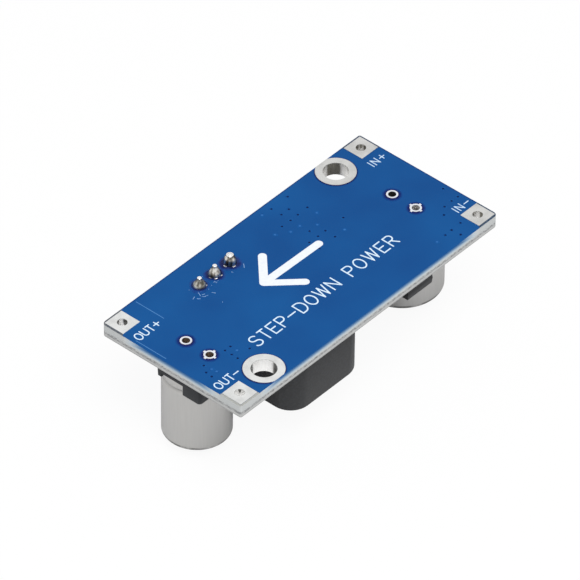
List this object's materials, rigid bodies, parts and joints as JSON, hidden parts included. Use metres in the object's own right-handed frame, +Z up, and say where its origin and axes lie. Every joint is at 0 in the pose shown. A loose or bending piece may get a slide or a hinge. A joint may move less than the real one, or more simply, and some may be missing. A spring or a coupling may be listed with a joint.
{
  "type": "adjustable step-down converter module",
  "caption": "Narrow blue circuit board, solder side up, that steps a DC voltage down; capacitors, inductor, regulator and trimmer hang below and wires solder to its corners.",
  "frame": {"origin": "middle of the board's outline, at the height of the lowest point, the tip of the trimmer's screw", "axes": "+X along the board from the output end to the input end, +Y from the negative to the positive edge, +Z up out of the solder side, which faces up as in the picture"},
  "size_m": [0.0434, 0.0206, 0.0146],
  "materials": {
    "board": "glossy solder mask",
    "tinned_land": "satin tin",
    "tinned_wire": "satin tin plate",
    "solder": "bright solder",
    "trimmer_plastic": "satin",
    "casting_resin": "satin",
    "screw_brass": "turned",
    "moulded_base": "matt",
    "can_aluminium": "satin",
    "ferrite": "matt",
    "enamelled_copper": "varnished copper",
    "mould_compound": "matt",
    "resistor_ceramic": "glazed",
    "capacitor_ceramic": "matt"
  },
  "bodies": {
    "module": {"circuit_board": "board", "input_positive_terminal": "tinned_land", "input_negative_terminal": "tinned_land", "output_positive_terminal": "tinned_land", "output_negative_terminal": "tinned_land", "output_screw_hole_land": "tinned_land", "input_screw_hole_land": "tinned_land", "input_spare_eyelets": "tinned_land", "output_spare_eyelets": "tinned_land", "trimmer_eyelets": "tinned_land", "trimmer_pins": "tinned_wire", "trimmer_solder_joints": "solder", "trimmer_case": "trimmer_plastic", "trimmer_resin": "casting_resin", "output_capacitor_base": "moulded_base", "output_capacitor_feet": "tinned_wire", "output_capacitor_can": "can_aluminium", "input_capacitor_base": "moulded_base", "input_capacitor_feet": "tinned_wire", "input_capacitor_can": "can_aluminium", "inductor_sleeve": "ferrite", "inductor_header": "moulded_base", "inductor_tabs": "tinned_wire", "inductor_drum": "ferrite", "inductor_winding": "enamelled_copper", "inductor_adhesive": "casting_resin", "regulator_tab": "tinned_wire", "regulator_body": "mould_compound", "regulator_leads": "tinned_wire", "diode_body": "mould_compound", "diode_leads": "tinned_wire", "feedback_resistor_body": "resistor_ceramic", "feedback_resistor_ends": "tinned_wire", "feedback_capacitor_body": "capacitor_ceramic", "feedback_capacitor_ends": "tinned_wire", "input_bypass_capacitor_body": "capacitor_ceramic", "input_bypass_capacitor_ends": "tinned_wire", "component_lands": "tinned_land", "surface_mount_solder": "solder"},
    "adjusting_screw": {"trimmer_screw": "screw_brass"}
  },
  "joints": [
    {"name": "trimmer_turn", "type": "hinge", "parent": "module", "child": "adjusting_screw", "pos_m": [-0.01069, 0.00649, 0.0007], "axis": [0, 0, 1], "continuous": true}
  ]
}
